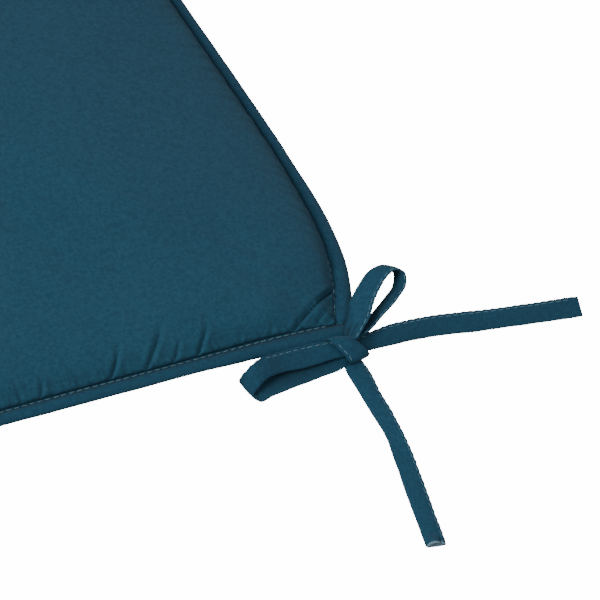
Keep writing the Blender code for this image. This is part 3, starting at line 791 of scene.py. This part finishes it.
# %% Routes of the ties
# Places are in millimetres from the right back corner. The width points from the seam to the fold, and the
# other way in the tie that wraps: toward is its angle from +X seen from above, and dip how far it tips
# below level, both in degrees.
ROUTE_STEP = 0.8
PLAIN_TIE = (
    # x, y, z, width, toward, dip
    (-7, -6.6, 7.1, 8, -90, 31),
    (-14, -5.7, 7, 8.6, -91, 32),
    (-31, -4.7, 6.4, 10, -92, 34),
    (-44.5, -4.7, 7.2, 9.7, -86, 33),
    (-54, -6, 8.3, 10, -78, 31),
    (-61.7, -9.1, 7.2, 10, -70, 24),
    (-65.7, -11.2, 4.2, 10, -70, 10),
    (-62.4, -13.2, 1.1, 10.8, -76, 2),
    (-54, -11.8, 0.9, 11, -84, 0),
    (-43, -10.6, 0.9, 11.3, -84, 0),
    (-21.5, -9, 1.5, 10.7, -86, 6),
    (-13.5, -8.9, 2.6, 10, -88, 14),
    (-6, -7.3, 4.5, 8, -90, 29),
    (2, -5.4, 4.6, 7.5, -89, 33),
    (9, -4.6, 4, 8.4, -88, 36),
    (19, -4.3, 4, 9.8, -91, 37),
    (41.5, -5.5, 3.8, 10, -96, 34),
    (68, -9.8, 3.7, 10, -99, 33),
    (95, -13.6, 3.6, 10, -97, 32),
    (122.5, -17, 3.3, 10, -97, 26),
)
WRAP_LOOP = (
    # x, y, z, width, toward, dip
    (-5.2, -3.3, 10, 7.6, -66, -20),
    (-0.7, 0.6, 9.9, 10.8, -62, -36),
    (3.7, 4.6, 11.3, 12.5, -55, -36),
    (9.2, 10.7, 12.6, 12.2, -53, -30),
    (16.6, 17, 15.4, 11.4, -61, -29),
    (23.5, 21.2, 18, 11.2, -75, -28),
    (30.1, 22.2, 19.1, 11, -92, -38),
    (34.2, 19.4, 17.8, 11.2, -98, -50),
    (32.7, 14.4, 14.8, 11.5, -86, -54),
    (26.5, 10, 11.9, 11, -77, -50),
    (15.6, 4.6, 9.7, 8.6, -73, -46),
    (6.8, -0.4, 8.9, 6.2, -73, -42),
    (1, -2.1, 8.7, 4.6, -78, -14),
    (-3, -2.9, 8.6, 4.2, -90, 28),
)
WRAP_TAIL = (
    # x, y, z, width, toward, dip
    (-5.8, -10.8, 1.8, 10, -6, -4),
    (-6.2, -16.5, 1.6, 10.9, -5, -8),
    (-7.8, -32, 1.7, 9.4, -4, -14),
    (-9, -45, 2.3, 8.8, -7, -22),
    (-10.2, -56, 2.4, 8.4, -13, -25),
    (-12.5, -67.5, 1.9, 9.5, -16, -16),
    (-16, -81.5, 1.5, 10, -17, -10),
    (-20.1, -98, 1.3, 10.1, -15, -6),
    (-24.9, -117.3, 1.2, 10.3, -13, -5),
)
print("rows in the routes:", len(PLAIN_TIE), len(WRAP_LOOP), len(WRAP_TAIL))

# %% A smooth route through a table
def smooth_route(rows, step):
    """Centre, width and width direction at equal steps, on a cubic through the rows with even slopes."""
    table = np.array(rows)
    toward, dip = np.radians(table[:, 4:].T)
    across = np.stack([np.cos(dip) * np.cos(toward), np.cos(dip) * np.sin(toward), -np.sin(dip)], 1)
    knots = np.column_stack([table[:, :4], across])
    run = run_along(knots[:, :3])
    slope = np.gradient(knots, run, axis=0)
    place = np.linspace(0.0, len(rows) - 1.0, 30 * (len(rows) - 1) + 1)
    k = np.clip(place.astype(int), 0, len(rows) - 2)
    t, span = (place - k)[:, None], (run[k + 1] - run[k])[:, None]
    curve = (
        knots[k] * (2 * t**3 - 3 * t**2 + 1)
        + slope[k] * span * (t**3 - 2 * t**2 + t)
        + knots[k + 1] * (3 * t**2 - 2 * t**3)
        + slope[k + 1] * span * (t**3 - t**2)
    )
    travelled = run_along(curve[:, :3])
    places = np.linspace(0.0, travelled[-1], int(travelled[-1] / step) + 1)
    return read_off(places, travelled, curve), places


def from_corner(points, side, swing):
    """Places from the right back corner put in the pad's frame, swung about the corner, mirrored for -1."""
    away = ease((np.hypot(points[..., 0], points[..., 1]) - 16.0) / 70.0)
    angle = np.radians(swing) * away
    x = points[..., 0] * np.cos(angle) - points[..., 1] * np.sin(angle)
    y = points[..., 0] * np.sin(angle) + points[..., 1] * np.cos(angle)
    return np.stack([side * (CORNER_X + x), y - PAD_DEPTH / 2, points[..., 2]], -1)


print("length of the plain tie in mm:", round(smooth_route(PLAIN_TIE, ROUTE_STEP)[1][-1]))

# %% Section of the tape
# Places across the tape, from -1 at the seam to 1 at the fold, with the stitches at -0.76; and round it,
# over the upper leaf and back under the lower.
ACROSS = np.array([-1.0, -0.985, -0.95, -0.9, -0.83, -0.76, -0.69, -0.6, -0.45])
ACROSS = np.concatenate([ACROSS, [-0.2, 0.08, 0.36, 0.62, 0.82, 0.94, 0.99, 1.0]])
ROUND = np.concatenate([ACROSS, ACROSS[-2:0:-1]])
LEAF = np.where(np.arange(len(ROUND)) < len(ACROSS), 1.0, -1.0)
SEAM_BELL = bell((ROUND + 0.85) / 0.25)
TAPE_PITCH = 4.0
STITCH_COLUMN = 5
# Opening of a tail's end: how far in it reaches, and the least height of any tape over the seat.
OPEN_RUN, LEAST_HEIGHT = 7.0, 0.05


def tape_half_thickness(a):
    """0.42 mm at the seam growing to 0.72 at the fold, rounded off at both edges, pinched at the stitches."""
    body = 0.42 + 0.3 * ease((a + 0.9) / 0.9)
    rounding = np.sqrt(np.clip(1.0 - np.abs(a) ** 9, 0.0, 1.0))
    return body * rounding - 0.2 * bell((a + 0.76) / 0.08)


def tape_grid(rows, seed, seam_side=1.0, opening=0.0):
    """Tape carried along its route. It breathes with the stitches and gathers in ridges near the knot; an
    opening lifts its upper leaf over the last 7 mm, in a large lobe by the fold and a small one by the
    seam."""
    route, run = smooth_route(rows, ROUTE_STEP)
    centre, width, across = route[:, :3], route[:, 3], seam_side * unit(route[:, 4:7])
    along = np.gradient(centre, run, axis=0)
    face = unit(np.cross(along, across))
    a, top, seam = ROUND, LEAF, SEAM_BELL
    near_knot = 1.0 - ease((np.hypot(centre[:, 0] + 5.0, centre[:, 1] + 6.0) - 6.0) / 14.0)
    breath = np.cos(2.0 * math.pi * run / TAPE_PITCH)[:, None]
    thick = tape_half_thickness(a) * (1.0 - 0.35 * near_knot[:, None]) * (1.0 + 0.28 * breath * seam)
    sway = 0.16 * drift(run, seed, 9.0)[:, None] * np.sign(a) * np.abs(a) ** 3
    spread = 0.5 * width[:, None] * a + 0.18 * breath * seam * (a < -0.9) + sway
    free = 1.0 - near_knot
    wave = 0.3 * drift(run, seed + 1, 11.0) * free
    cup = 0.55 * drift(run, seed + 2, 22.0)[:, None] * (a**2 - 0.4) * free[:, None]
    ridge = 0.22 * near_knot[:, None] * np.cos(2.2 * math.pi * a + 0.8)
    lowest = centre[:, 2] - np.abs(across[:, 2]) * width / 2 - 0.5 * np.abs(face[:, 2])
    centre = centre + np.array([0.0, 0.0, 1.0]) * np.maximum(0.3 - lowest, 0.0)[:, None]
    large = np.sqrt(np.clip(1.0 - ((a - 0.25) / 0.7) ** 2, 0.0, 1.0))
    lobes = large + 0.35 * np.clip(1.0 - ((a + 0.7) / 0.25) ** 2, 0.0, 1.0)
    upward = np.sign(np.cross(along, across)[-1, 2])
    lift = opening * ease((run - run[-1] + OPEN_RUN) / OPEN_RUN)[:, None] * lobes * upward
    offset = wave[:, None] + cup + ridge + thick * top + lift * (top * np.sign(lift) > 0.0)
    grid = centre[:, None] + across[:, None] * spread[..., None] + face[:, None] * offset[..., None]
    grid[..., 2] = np.maximum(grid[..., 2], LEAST_HEIGHT)
    return grid, run, face


print("points round the tape's section:", len(ROUND))

# %% [markdown]
# ## The knot
#
# The second tie of each corner wraps once round the first, and the eye sees that wrap as the knot. It is
# the same tape, carried round a flattened ring that leans toward the pad's back edge.

# %% The band round the knot
BAND_CENTRE = np.array([-7.0, -6.7, 5.8])
BAND_LONG, BAND_TALL, BAND_HALF_WIDTH = 6.9, 3.4, 6.0
BAND_FRONT = slice(3, 45)


def band_grid(seed):
    """Tape round a ring: |b/6.9|^3 + |s/3.4|^3 = 1 in a plane that leans 31 degrees, b downhill and s square
    to it; it slants 0.55 mm for each mm of b, and is 28 % shorter round at the fold than at the seam."""
    turn = np.linspace(0.0, 2.0 * math.pi, 96, endpoint=False)
    long, tall = (np.sign(part(turn)) * np.abs(part(turn)) ** (2.0 / 3.0) for part in (np.cos, np.sin))
    lean = math.radians(31.0)
    downhill = np.array([0.0, -math.cos(lean), -math.sin(lean)])
    uphill = np.array([0.0, -math.sin(lean), math.cos(lean)])
    middle = BAND_LONG * long[:, None] * downhill + BAND_TALL * tall[:, None] * uphill
    outward = unit(long[:, None] * downhill / BAND_LONG + tall[:, None] * uphill / BAND_TALL)
    a = ROUND
    run = girth_of(middle)
    breath = np.cos(2.0 * math.pi * run[:-1] / TAPE_PITCH)[:, None]
    thick = tape_half_thickness(a) * (1.0 + 0.2 * breath * SEAM_BELL)
    shorter = 1.0 - 0.14 * (a + 1.0)
    sway = 0.2 * drift(run[:-1], seed, 6.0)[:, None] * a
    spread = BAND_HALF_WIDTH * a + 0.55 * BAND_LONG * long[:, None] + sway
    puff = 0.5 * (1.0 - a**2) * ease(0.5 + tall[:, None])
    grid = BAND_CENTRE + middle[:, None] + outward[:, None] * (thick * LEAF + puff)[..., None]
    grid = grid - ((1.0 - shorter) * BAND_LONG * long[:, None])[..., None] * downhill
    grid[..., 0] += spread
    return grid, run, outward


print("band points:", band_grid(0)[0].shape[:2])

# %% [markdown]
# ## Making up the bows
#
# Every tie is one object, and its stitches are another. The left bow is the right one mirrored, with its
# tails 9 degrees further round, as no two bows are tied alike. The open end shows its pale plies, and the
# inside of the lying loop and the foot of the raised one keep shade on their points.

# %% Two bows
TAPE_GIRTH = girth_of(np.stack([5.0 * ROUND, 0.5 * LEAF], 1))
# x of the place where the lying loop turns back, and how deep in shade its rows of the table lie.
LOOP_BEND = -56.0
LOOP_SHADE = {6: 0.55, 7: 0.1, 8: 0.35, 9: 0.8, 10: 0.75, 11: 0.65}
# The rings of a tail's plies: size of the section, and how far past the tail's end.
PLY_STEPS = ((0.84, -1.2), (0.95, 0.1), (0.93, 0.7), (0.76, 0.9), (0.50, 0.5), (0.25, 0.35), (0.03, 0.45))


def loop_shade(run):
    """How deep the lying loop is in its own shade: given at rows of the route, straight between them."""
    rows = run_along(np.array(PLAIN_TIE)[:, :3])
    depth = np.array([LOOP_SHADE.get(k, 0.0) for k in range(len(PLAIN_TIE))])
    return np.interp(run * rows[-1] / run[-1], rows, depth)


def seam_rows(grid, face, side, swing, seed, radius=0.12):
    """Stitches along the seam, one row on each face of the tape."""
    seam, over, under = (
        from_corner(grid[:, column], side, swing) for column in (0, STITCH_COLUMN, -STITCH_COLUMN)
    )
    turned = from_corner(grid[:, 0] + face, side, swing) - seam
    return both_faces(over, under, turned, TAPE_PITCH, seed, 0.06, radius)


def raw_end(label, grid, side, swing):
    """The pale plies in the open end of a tail: the last section shrunk, its ring pushed out and crumpled."""
    ring, before = grid[-1], grid[-4]
    middle, ahead = ring.mean(0), unit(ring.mean(0) - before.mean(0))
    turn = np.arange(len(ring)) * 2.0 * math.pi / len(ring)
    rough = (1.0 + 0.10 * np.sin(5.0 * turn + 0.6) + 0.07 * np.sin(9.0 * turn + 2.0))[:, None]
    plies = np.stack([
        middle + (ring - middle) * size * (rough if size < 0.9 else 1.0) + ahead * out
        for size, out in PLY_STEPS
    ])
    plies[..., 2] = np.maximum(plies[..., 2], 0.15)
    part = tube(from_corner(plies, side, swing), np.arange(float(len(plies))), TAPE_GIRTH)
    made = cloth_piece(f"raw_plies_{label}", [part], raw_cloth)
    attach(made, "root")
    return made


def plain_tie(label, side, swing, seed):
    """The tie that is tied round: knot, loop along the back edge, knot again, and its tail. Its seam rolls
    under where the loop turns back, so it has no stitches there."""
    grid, run, face = tape_grid(PLAIN_TIE, seed)
    part = tube(from_corner(grid, side, swing), run, TAPE_GIRTH)
    made = cloth_piece(f"plain_tie_{label}", [part], tape_cloth)
    # Painted shade inside the lying loop, deepest at the seam edge under the upper leaf.
    keep_values(made, "shade", loop_shade(run)[:, None] * (0.6 - 0.4 * ROUND))
    rolled = np.flatnonzero(grid[:, 0, 0] < LOOP_BEND)
    before, after = slice(0, rolled[0]), slice(5 * (rolled[-1] // 5 + 1), None)
    rows = seam_rows(grid[before], face[before], side, swing, seed)
    rows += seam_rows(grid[after], face[after], side, swing, seed + 3)
    return made, [stitches(f"plain_tie_stitches_{label}", rows)], run[-1]


def gather_shade(run):
    """Shade where the raised loop leaves the knot: 0.8 along its fold, and two gathers that fade sooner."""
    fold = 0.8 * bell((1.0 - ROUND) / 0.26) * (1.0 - ease((run[:, None] - 15.0) / 8.0))
    gathers = 0.75 * bell((ROUND - 0.36) / 0.15) + 0.55 * bell((ROUND + 0.25) / 0.15)
    return np.minimum(fold + gathers * (1.0 - ease((run[:, None] - 4.0) / 9.0)), 0.85)


def wrap_tie(label, side, swing, seed):
    """The tie that wraps: its raised loop, the band round the knot and its tail, one object."""
    parts, rows, length = [], [], 0.0
    for table, turn, opening, radius in ((WRAP_LOOP, 0.0, 0.0, 0.12), (WRAP_TAIL, swing, 2.6, 0.07)):
        grid, run, face = tape_grid(table, seed + 5, -1.0, opening)
        parts.append(tube(from_corner(grid, side, turn), run, TAPE_GIRTH))
        rows += seam_rows(grid, face, side, turn, seed + 9, radius)
        length += run[-1]
    plies = raw_end(label, grid, side, swing)
    grid, run, outward = band_grid(seed)
    parts.append(tube(from_corner(grid, side, 0.0), run, TAPE_GIRTH, loop=True))
    rows += seam_rows(grid[BAND_FRONT], outward[BAND_FRONT], side, 0.0, seed + 13)[:1]
    made = cloth_piece(f"wrap_tie_{label}", parts, tape_cloth)
    # Painted shade along the raised loop's fold and in two gathers at its foot.
    keep_values(made, "shade", gather_shade(smooth_route(WRAP_LOOP, ROUTE_STEP)[1]))
    return made, [stitches(f"wrap_tie_stitches_{label}", rows), plies], length + run[-1]


for label, side, swing, seed in (("right", 1.0, 0.0, 51), ("left", -1.0, 9.0, 71)):
    for kind, make in (("plain", plain_tie), ("wrap", wrap_tie)):
        tie, sewn, length = make(label, side, swing, seed)
        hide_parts(f"tie_{kind}_{label}")
        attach(tie, "root")

# %% [markdown]
# ## Floor, light and camera
#
# The pad lies on a plain white floor in soft light from all round, with one large lamp to the left of the
# view, 36 degrees above the floor, so that the crown and the tucks show. The camera looks down 45 degrees on
# the right back corner from beyond the back edge, through a long lens, rolled so that the back edge climbs
# gently to the right.

# %% Floor
FLOOR_HALF, FLOOR_GREY, FLOOR_GLOW = 4.0, 0.15, 15.0


def lit_paper():
    """Matt paper that throws little light back, with a glow that only the view sees: it burns out white."""
    made, tree, shader = new_finish("white_paper")
    seen = add_node(tree, "ShaderNodeLightPath").outputs["Is Camera Ray"]
    feed(shader, {
        "Base Color": (FLOOR_GREY, FLOOR_GREY, FLOOR_GREY, 1.0), "Roughness": 1.0, "Specular IOR Level": 0.0,
        "Emission Color": (1.0, 1.0, 1.0, 1.0), "Emission Strength": maths("MULTIPLY", seen, FLOOR_GLOW),
    })
    return made


square = bpy.data.meshes.new("floor")
ends = [(-1, -1), (1, -1), (1, 1), (-1, 1)]
square.from_pydata([(x * FLOOR_HALF, y * FLOOR_HALF, 0.0) for x, y in ends], [], [(0, 1, 2, 3)])
square.materials.append(lit_paper())
floor = into_scene("floor", square)

# %% Lights
# The lamp is square and aimed at its target.
LAMP_PLACE, LAMP_TARGET = (-1.6, -0.35, 1.25), (0.1, -0.1, 0.0)
LAMP_SIZE, LAMP_WATTS, SKY_STRENGTH = 0.9, 31.0, 0.42

world = bpy.data.worlds.new("studio")
world.use_nodes = True
feed(world.node_tree.nodes["Background"], {"Color": (1.0, 1.0, 1.0, 1.0), "Strength": SKY_STRENGTH})
bpy.context.scene.world = world

data = set_values(bpy.data.lights.new("window_light", "AREA"), size=LAMP_SIZE, energy=LAMP_WATTS)
away = np.array(LAMP_PLACE) - np.array(LAMP_TARGET)
aim = (math.atan2(math.hypot(away[0], away[1]), away[2]), 0.0, math.atan2(away[0], -away[1]))
key = set_values(into_scene("window_light", data), location=LAMP_PLACE, rotation_euler=aim)
print("lamp at", tuple(round(v, 2) for v in key.location))

# %% Camera
# Directions of the picture's right and up, the place it is centred on, and how far off the camera stands.
RIGHT = np.array([0.8212, -0.4992, 0.2763])
UP = np.array([0.2223, 0.7257, 0.6509])
BACK = np.cross(RIGHT, UP)
TARGET = np.array([0.1525, -0.1756, 0.0090])
CAMERA_DISTANCE = 2.3148

lens = set_values(bpy.data.cameras.new("camera"), lens=300.0, sensor_width=36.0, clip_end=50.0)
camera = into_scene("camera", lens)
place = TARGET + CAMERA_DISTANCE * BACK
rows = np.eye(4)
rows[:3] = np.stack([RIGHT, UP, BACK, place], 1)
camera.matrix_world = Matrix(rows.tolist())
bpy.context.scene.camera = camera
print("camera at", np.round(place, 3))
